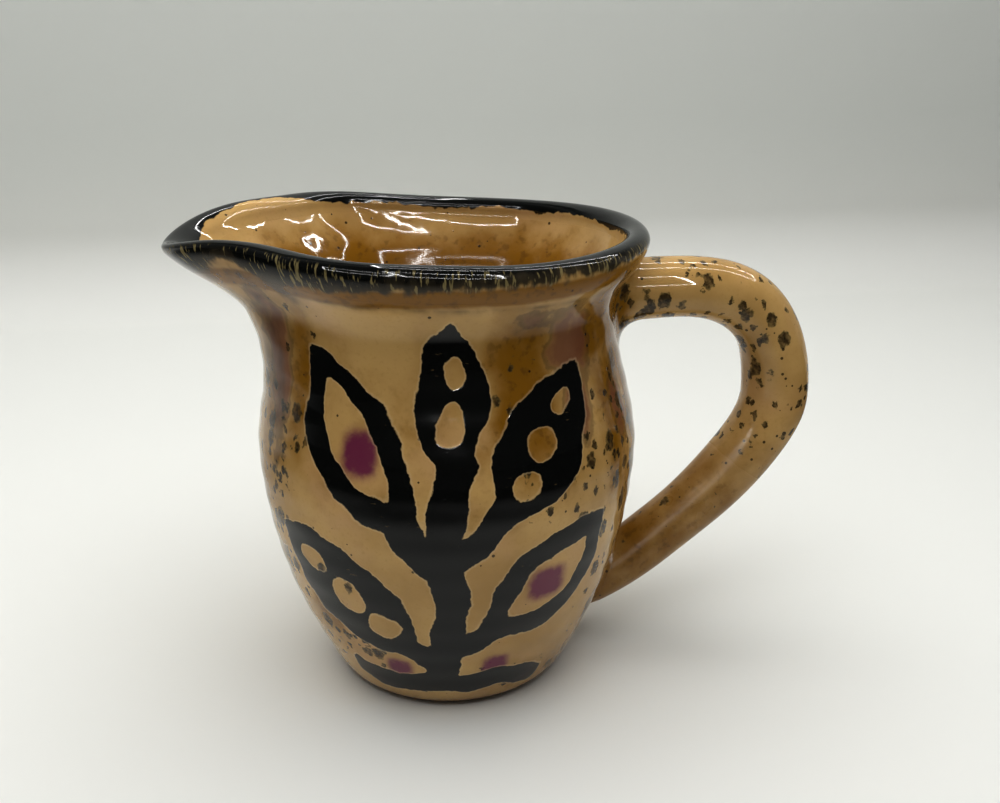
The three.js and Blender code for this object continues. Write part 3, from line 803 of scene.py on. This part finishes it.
lay(rim_band, "amber_and_shade", band_outside * amber_and_shade_amount(band_round, band_level))
lay(rim_band, "smoke", band_outside * dabs(band_round, band_level, SMOKE_STREAKS))
lay(rim_band, "mauve", band_outside * dabs(band_round, band_level, MAUVE_WASHES, MAUVE_SQUARENESS))

rim_glaze, tree, ground = new_glaze("rim_glaze")
rim = put(tree, "ShaderNodeGroup", node_tree=rim_black).outputs
colour = over(tree, rim["Mask"], ground["Color"], rim["Color"])
roughness = work_out(tree, "MULTIPLY_ADD", rim["Mask"], 0.03, ground["Roughness"])
fire(tree, colour, roughness, ground["Height"])
rim_band.data.materials.append(rim_glaze)
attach(rim_band, "root")
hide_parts("rim_glaze_band")


# Handle: a coil of clay pulled to a taper, bent to a loop and luted on under the lip and low on the
# belly while both were leather-hard. Its tan glaze carries larger olive-brown spots than the body.
HANDLE_BELOW_RIM = 15.9
HANDLE_TOP_RUN = 12.6
HANDLE_REACH = 33
HANDLE_APEX_DROP = 24
HANDLE_SHOULDER_RUN = 30
HANDLE_KNEE_RUN = 15.9
HANDLE_TAIL_RUN = 5.9
HANDLE_TAIL_ANGLE = math.radians(18)
HANDLE_FOOT_HEIGHT = 12.98
HANDLE_TOP_HALF = 6.3
HANDLE_BEND_HALF = 7.2
HANDLE_TAIL_HALF = 5.5
HANDLE_ROUNDNESS = 1.06
HANDLE_BURIED = 9
HANDLE_TUCK = 0.6
LONG_LUMPS = 0.1
SHORT_LUMPS = 0.08
HANDLE_SIDES = 56
HANDLE_RINGS = 150
BEND_STEPS = 240
BURIED_STEPS = 40

# Rounds of search for a point of the wall, and for the line where the handle comes out of it
WALL_ROUNDS = 6
JOINT_ROUNDS = 30

top_height = RIM_HEIGHT - HANDLE_BELOW_RIM
apex_reach = BELLY_RADIUS + HANDLE_REACH
apex_height = top_height - HANDLE_APEX_DROP
handle_top = np.array([float(outer_radius(top_height)), 0, top_height])
handle_foot = np.array([float(outer_radius(HANDLE_FOOT_HEIGHT)), 0, HANDLE_FOOT_HEIGHT])
handle_apex = np.array([apex_reach, 0, apex_height])
foot_way = np.array([math.cos(HANDLE_TAIL_ANGLE), 0, math.sin(HANDLE_TAIL_ANGLE)])
top_way = np.array([1.0, 0, 0])
shoulder = (apex_reach, 0, apex_height + HANDLE_SHOULDER_RUN)
knee = (apex_reach, 0, apex_height - HANDLE_KNEE_RUN)
top_run_end = handle_top + HANDLE_TOP_RUN * top_way
tail_start = handle_foot + HANDLE_TAIL_RUN * foot_way
handle_line = np.concatenate([
    np.linspace(handle_top - HANDLE_BURIED * top_way, handle_top, BURIED_STEPS),
    smooth_path(handle_top, top_run_end, shoulder, handle_apex, BEND_STEPS)[1:],
    smooth_path(handle_apex, knee, tail_start, handle_foot, BEND_STEPS)[1:],
    np.linspace(handle_foot, handle_foot - HANDLE_BURIED * foot_way, BURIED_STEPS)[1:],
])
handle_travel = travel(handle_line)
handle_length = handle_travel[-1]
handle_shares = handle_travel / handle_length
handle_slopes = np.gradient(handle_line, handle_travel, axis=0)


def along_handle(share, table):
    return np.stack([np.interp(share, handle_shares, table[:, axis]) for axis in range(3)], axis=-1)


def handle_way(share, turned):
    """The way from the handle's middle line to its surface."""
    slope = along_handle(share, handle_slopes)
    slope /= np.linalg.norm(slope, axis=-1, keepdims=True)
    outward = np.stack([slope[..., 2], 0 * share, -slope[..., 0]], axis=-1)
    across = np.array([0, 1.0, 0])
    return np.cos(turned)[..., None] * outward + HANDLE_ROUNDNESS * np.sin(turned)[..., None] * across


def handle_point(share, turned):
    """A point of the handle's surface, a little lumpy as pulled by hand."""
    half = np.interp(share, (0, 0.5, 1), (HANDLE_TOP_HALF, HANDLE_BEND_HALF, HANDLE_TAIL_HALF))
    lumps = LONG_LUMPS * np.sin(31 * share + 1.7 * turned)
    lumps = lumps + SHORT_LUMPS * np.sin(17 * share - 2 * turned + 1)
    thickness = half - LONG_LUMPS - SHORT_LUMPS + lumps
    return along_handle(share, handle_line) + handle_way(share, turned) * thickness[..., None]


def wall_point(point):
    """The point of the outer wall at the same height, towards a given point."""
    angle = np.arctan2(point[..., 1], point[..., 0])
    height = point[..., 2]
    for _ in range(WALL_ROUNDS):
        radius = outer_radius(height)
        on_wall = pull_spout(radius - thrown_waves(angle, height), angle, height)
        height = height + point[..., 2] - on_wall[..., 2]
    return on_wall


def joint_share(turned, buried, clear):
    """The share of the handle's length where each line of its surface comes out of the wall."""
    inside = np.full(turned.shape, float(buried))
    outside = np.full(turned.shape, float(clear))
    for _ in range(JOINT_ROUNDS):
        middle = (inside + outside) / 2
        point = handle_point(middle, turned)
        wall = wall_point(point)
        is_in = np.hypot(point[..., 0], point[..., 1]) < np.hypot(wall[..., 0], wall[..., 1])
        inside = np.where(is_in, middle, inside)
        outside = np.where(is_in, outside, middle)
    return outside


def handle_amber_and_shade(share):
    """Amber deepens, as painted shade, in the crease under the lip and down the lower half of the handle.
    """
    return np.clip(1.8 * (share - 0.36), 0, 0.66) + 0.9 * bell(share - 0.06, 0.045)


def handle_speckle(share, turned):
    """Spots lie thick on the upper half of the handle, more so on its outer side."""
    upper = 0.55 + 0.25 * np.cos(turned)
    return 0.35 + upper * np.clip((0.66 - share) / 0.14, 0, 1)


def handle_satin(share):
    """The lower half of the handle has a satin glaze."""
    return np.clip((share - 0.5) / 0.12, 0, 1)


handle_turns = np.linspace(0, 2 * math.pi, HANDLE_SIDES, endpoint=False)
top_joint = joint_share(handle_turns, buried=0, clear=0.5)
foot_joint = joint_share(handle_turns, buried=1, clear=0.5)
handle_steps = np.linspace(0, 1, HANDLE_RINGS)[:, None]
tuck = HANDLE_TUCK / handle_length
ring_shares = (top_joint - tuck) * (1 - handle_steps) + (foot_joint + tuck) * handle_steps
ring_turns = handle_turns + 0 * ring_shares
handle = skin("handle", handle_point(ring_shares, ring_turns))
lay(handle, "speckle", handle_speckle(ring_shares, ring_turns))
# Painted shade: the amber darkens the lower half of the handle and the crease under the lip
lay(handle, "amber_and_shade", handle_amber_and_shade(ring_shares))
lay(handle, "satin", handle_satin(ring_shares))

glazed_handle, tree, ground = new_glaze("glazed_handle")
fire(tree, ground["Color"], ground["Roughness"], ground["Height"])
handle.data.materials.append(glazed_handle)
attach(handle, "root")
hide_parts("handle")


# Luting fillets: soft clay pressed into the corner round each of the handle's joints and smoothed
# off with a finger, so that handle and body run into one another. Glazed with the rest.
UPPER_FILLET_OVER = 3.6
UPPER_FILLET_UNDER = 7.6
LOWER_FILLET_OVER = 5.6
LOWER_FILLET_UNDER = 3.4
FILLET_FEATHER = 0.06
FILLET_ROOT = 0.9
FILLET_STEPS = 14
CREASE_PAINTED_SHADE = 0.3


def make_fillet(name, joint, away, leg_over, leg_under):
    """Presses a fillet round one joint. Away is 1 or -1, whichever leads along the handle from the wall."""
    way = handle_way(joint, handle_turns)
    way /= np.linalg.norm(way, axis=-1, keepdims=True)
    leg = leg_under + (leg_over - leg_under) * (1 + way[:, 2]) / 2
    ends = joint + away * leg / handle_length
    corner = handle_point(joint, handle_turns)
    on_handle = handle_point(ends, handle_turns)
    out = corner * (1, 1, 0)
    out /= np.linalg.norm(out, axis=-1, keepdims=True)
    along_wall = way - (way * out).sum(-1, keepdims=True) * out
    along_wall /= np.linalg.norm(along_wall, axis=-1, keepdims=True)
    on_wall = wall_point(corner + along_wall * leg[:, None])
    share = np.linspace(0, 1, FILLET_STEPS)[None, :, None]
    start = (on_handle - FILLET_FEATHER * way)[:, None]
    end = (on_wall - FILLET_FEATHER * out)[:, None]
    face = (1 - share) ** 2 * start + 2 * (1 - share) * share * corner[:, None] + share**2 * end
    back = np.stack([
        on_wall - FILLET_ROOT * out,
        corner - FILLET_ROOT * out - FILLET_ROOT * way,
        on_handle - FILLET_ROOT * way,
    ], axis=1)
    ribs = np.concatenate([face, back], axis=1)
    rib_share = np.concatenate([share[0, :, 0], (1, 0.5, 0)])
    wall_round = unroll(np.arctan2(on_wall[:, 1], on_wall[:, 0]))
    wall_amber_and_shade = amber_and_shade_amount(wall_round, on_wall[:, 2])
    amber_and_shade = handle_amber_and_shade(ends)[:, None] * (1 - rib_share) + wall_amber_and_shade[:, None] * rib_share
    # Painted shade: the amber deepens in the middle of the crease
    amber_and_shade = amber_and_shade + CREASE_PAINTED_SHADE * np.sin(math.pi * rib_share)
    speckle = handle_speckle(ends, handle_turns)[:, None] + 0 * amber_and_shade
    satin = handle_satin(ends)[:, None] * (1 - rib_share)
    layers = [ribs, amber_and_shade, speckle, satin]
    if away < 0:
        layers = [layer[::-1] for layer in layers]
    ribs, amber_and_shade, speckle, satin = layers
    fillet = skin(name, ribs, closed=True)
    lay(fillet, "speckle", speckle)
    lay(fillet, "amber_and_shade", amber_and_shade)
    lay(fillet, "satin", satin)
    fillet.data.materials.append(glazed_handle)
    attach(fillet, "root")
    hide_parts(name)


make_fillet("upper_luting_fillet", top_joint, 1, UPPER_FILLET_OVER, UPPER_FILLET_UNDER)
make_fillet("lower_luting_fillet", foot_joint, -1, LOWER_FILLET_OVER, LOWER_FILLET_UNDER)


# Studio: a pale sheet of paper that lies under the jug and sweeps up behind it, a soft light above, three
# thin bright frames that show as lines in the glaze, and a pale surround. Lengths are in metres, and in
# millimetres inside the paper's own colour.
SHEET_FRONT = -1.2
SHEET_BACK = 0.31
SHEET_SWEEP = 0.035
SHEET_HALF = 1.2
SHEET_TOP = 1.0
SHEET_GAP = 0.0001
SWEEP_STEPS = 24
PAPER = paint("e0e0dc")
PAPER_IN_PAINTED_SHADE = paint("d0d2ce")
PAINTED_DARK_REFLECTION = paint("181818")
sweep_start = SHEET_BACK - SHEET_SWEEP
sheet_line = [(SHEET_FRONT, 0.0), (sweep_start, 0.0)]
for angle in np.linspace(-math.pi / 2, 0, SWEEP_STEPS)[1:]:
    sweep_height = SHEET_SWEEP + SHEET_SWEEP * math.sin(angle)
    sheet_line.append((sweep_start + SHEET_SWEEP * math.cos(angle), sweep_height))
sheet_line.append((SHEET_BACK, SHEET_TOP))
sheet_points = [(side * SHEET_HALF, y, z - SHEET_GAP) for y, z in sheet_line for side in (-1, 1)]
sheet_faces = [(2 * i, 2 * i + 1, 2 * i + 3, 2 * i + 2) for i in range(len(sheet_line) - 1)]
sheet_mesh = bpy.data.meshes.new("studio_sheet")
sheet_mesh.from_pydata(sheet_points, [], sheet_faces)
sheet_mesh.shade_smooth()
sheet = bpy.data.objects.new("studio_sheet", sheet_mesh)
bpy.context.scene.collection.objects.link(sheet)

# Seen in the glaze, the paper is painted a dark reflection, but for what lies near by or far behind
pale_paper = bpy.data.materials.new("pale_paper")
pale_paper.use_nodes = True
tree = pale_paper.node_tree
shader = tree.nodes["Principled BSDF"]
shader.inputs["Roughness"].default_value = 0.9
shader.inputs["Specular IOR Level"].default_value = 0
where = millimetres(tree)
place = axes(tree, where)
# Painted shade: the paper is painted darker as it sweeps up behind the jug, with a little grain
painted_shade_rise = between(tree, place["Z"], 0, 90)
painted_shade_and_grain = work_out(tree, "MULTIPLY_ADD", grain(tree, where, size=40), 0.05, painted_shade_rise)
paper_colour = over(tree, painted_shade_and_grain, PAPER, PAPER_IN_PAINTED_SHADE)
distance = put(tree, "ShaderNodeVectorMath", {0: where}, operation="LENGTH").outputs["Value"]
far_off = between(tree, distance, 50, 220)
not_behind = between(tree, place["Y"], 60, 140, 1, 0)
mirrored = put(tree, "ShaderNodeLightPath").outputs["Is Glossy Ray"]
dark = work_out(tree, "MULTIPLY", mirrored, work_out(tree, "MULTIPLY", not_behind, far_off))
tree.links.new(over(tree, dark, paper_colour, PAINTED_DARK_REFLECTION), shader.inputs["Base Color"])
sheet_mesh.materials.append(pale_paper)

# The lights. Each frame has its middle, what it faces, its width, its depth and its watts
CEILING_PLACE = (-0.03, -0.04, 0.56)
CEILING_SIDE = 0.75
CEILING_WATTS = 5
FRAME_STRIP = 0.005
FRAMES = (
    ("left_frame", (-0.24, -0.5, 0.4), (0, 0, 0.09), 0.62, 0.25, 2.5),
    ("right_frame", (0.15, -0.47, 0.474), (0.04, 0, 0.08), 0.17, 0.36, 2),
    ("back_frame", (0.33, 0.13, 0.5), (0.33, 0.13, 0), 0.6, 0.22, 2.2),
)


def soft_light(name, place, turned, width, depth, watts):
    light = bpy.data.lights.new(name, "AREA")
    light.shape = "RECTANGLE"
    light.size = width
    light.size_y = depth
    light.energy = watts
    lamp = bpy.data.objects.new(name, light)
    lamp.location = place
    lamp.rotation_euler = turned.to_euler()
    lamp.visible_camera = False
    bpy.context.scene.collection.objects.link(lamp)
    return lamp


def facing(place, target):
    return (Vector(target) - Vector(place)).to_track_quat("-Z", "Y")


def bright_frame(name, middle, target, width, depth, watts):
    """Four bright strips round a rectangle that faces the jug. They show as lines in the glaze."""
    turned = facing(middle, target)
    for side, shift_x, shift_y, long_x, long_y in (
        ("front", 0, -depth / 2, width, FRAME_STRIP), ("back", 0, depth / 2, width, FRAME_STRIP),
        ("left", -width / 2, 0, FRAME_STRIP, depth), ("right", width / 2, 0, FRAME_STRIP, depth),
    ):
        share = max(long_x, long_y) / (2 * width + 2 * depth)
        place = Vector(middle) + turned @ Vector((shift_x, shift_y, 0))
        lamp = soft_light(f"{name}_{side}", place, turned, long_x, long_y, watts * share)
        lamp.visible_diffuse = False


straight_down = facing(CEILING_PLACE, (*CEILING_PLACE[:2], 0))
ceiling = soft_light("ceiling", CEILING_PLACE, straight_down, CEILING_SIDE, CEILING_SIDE, CEILING_WATTS)
ceiling.visible_glossy = False
for frame_sizes in FRAMES:
    bright_frame(*frame_sizes)

# The surround glows pale behind the jug and is dark in front of it
DARK_GLOW = 0.03
PALE_GLOW = 0.33
SEEN_GLOW = 0.5
SURROUND = (0.95, 0.97, 0.95, 1)
world = bpy.data.worlds.new("pale_surround")
bpy.context.scene.world = world
world.use_nodes = True
tree = world.node_tree
backward = axes(tree, put(tree, "ShaderNodeTexCoord").outputs["Generated"])["Y"]
wall_glow = between(tree, backward, -0.8, -0.2, DARK_GLOW, PALE_GLOW)
mirror_glow = between(tree, backward, -0.15, 0.25, DARK_GLOW, PALE_GLOW)
ray = put(tree, "ShaderNodeLightPath").outputs
glow = put(tree, "ShaderNodeMix", {0: ray["Is Glossy Ray"], 2: wall_glow, 3: mirror_glow}).outputs[0]
glow = put(tree, "ShaderNodeMix", {0: ray["Is Camera Ray"], 2: glow, 3: SEEN_GLOW}).outputs[0]
background = tree.nodes["Background"]
background.inputs["Color"].default_value = SURROUND
tree.links.new(glow, background.inputs["Strength"])

# Camera: it stands in front of the jug, a little to the left, and looks down into its mouth
LENS = 39.6
SENSOR_WIDTH = 36
NEAREST_SEEN = 0.01
VIEW_TURN = math.radians(-9.9)
VIEW_RISE = math.radians(20.31)
VIEW_PLACE = (-0.026163, -0.212952, 0.136839)
PICTURE_GAMMA = 0.86
right = Vector((math.cos(VIEW_TURN), math.sin(VIEW_TURN), 0))
back = Vector((
    math.sin(VIEW_TURN) * math.cos(VIEW_RISE),
    -math.cos(VIEW_TURN) * math.cos(VIEW_RISE),
    math.sin(VIEW_RISE),
))
up = back.cross(right)
camera_lens = bpy.data.cameras.new("photo_view")
camera_lens.lens = LENS
camera_lens.sensor_width = SENSOR_WIDTH
camera_lens.clip_start = NEAREST_SEEN
camera = bpy.data.objects.new("photo_view", camera_lens)
camera.matrix_world = Matrix.Translation(VIEW_PLACE) @ Matrix((right, up, back)).transposed().to_4x4()
bpy.context.scene.collection.objects.link(camera)
bpy.context.scene.camera = camera
bpy.context.scene.view_settings.view_transform = "Standard"
bpy.context.scene.view_settings.gamma = PICTURE_GAMMA
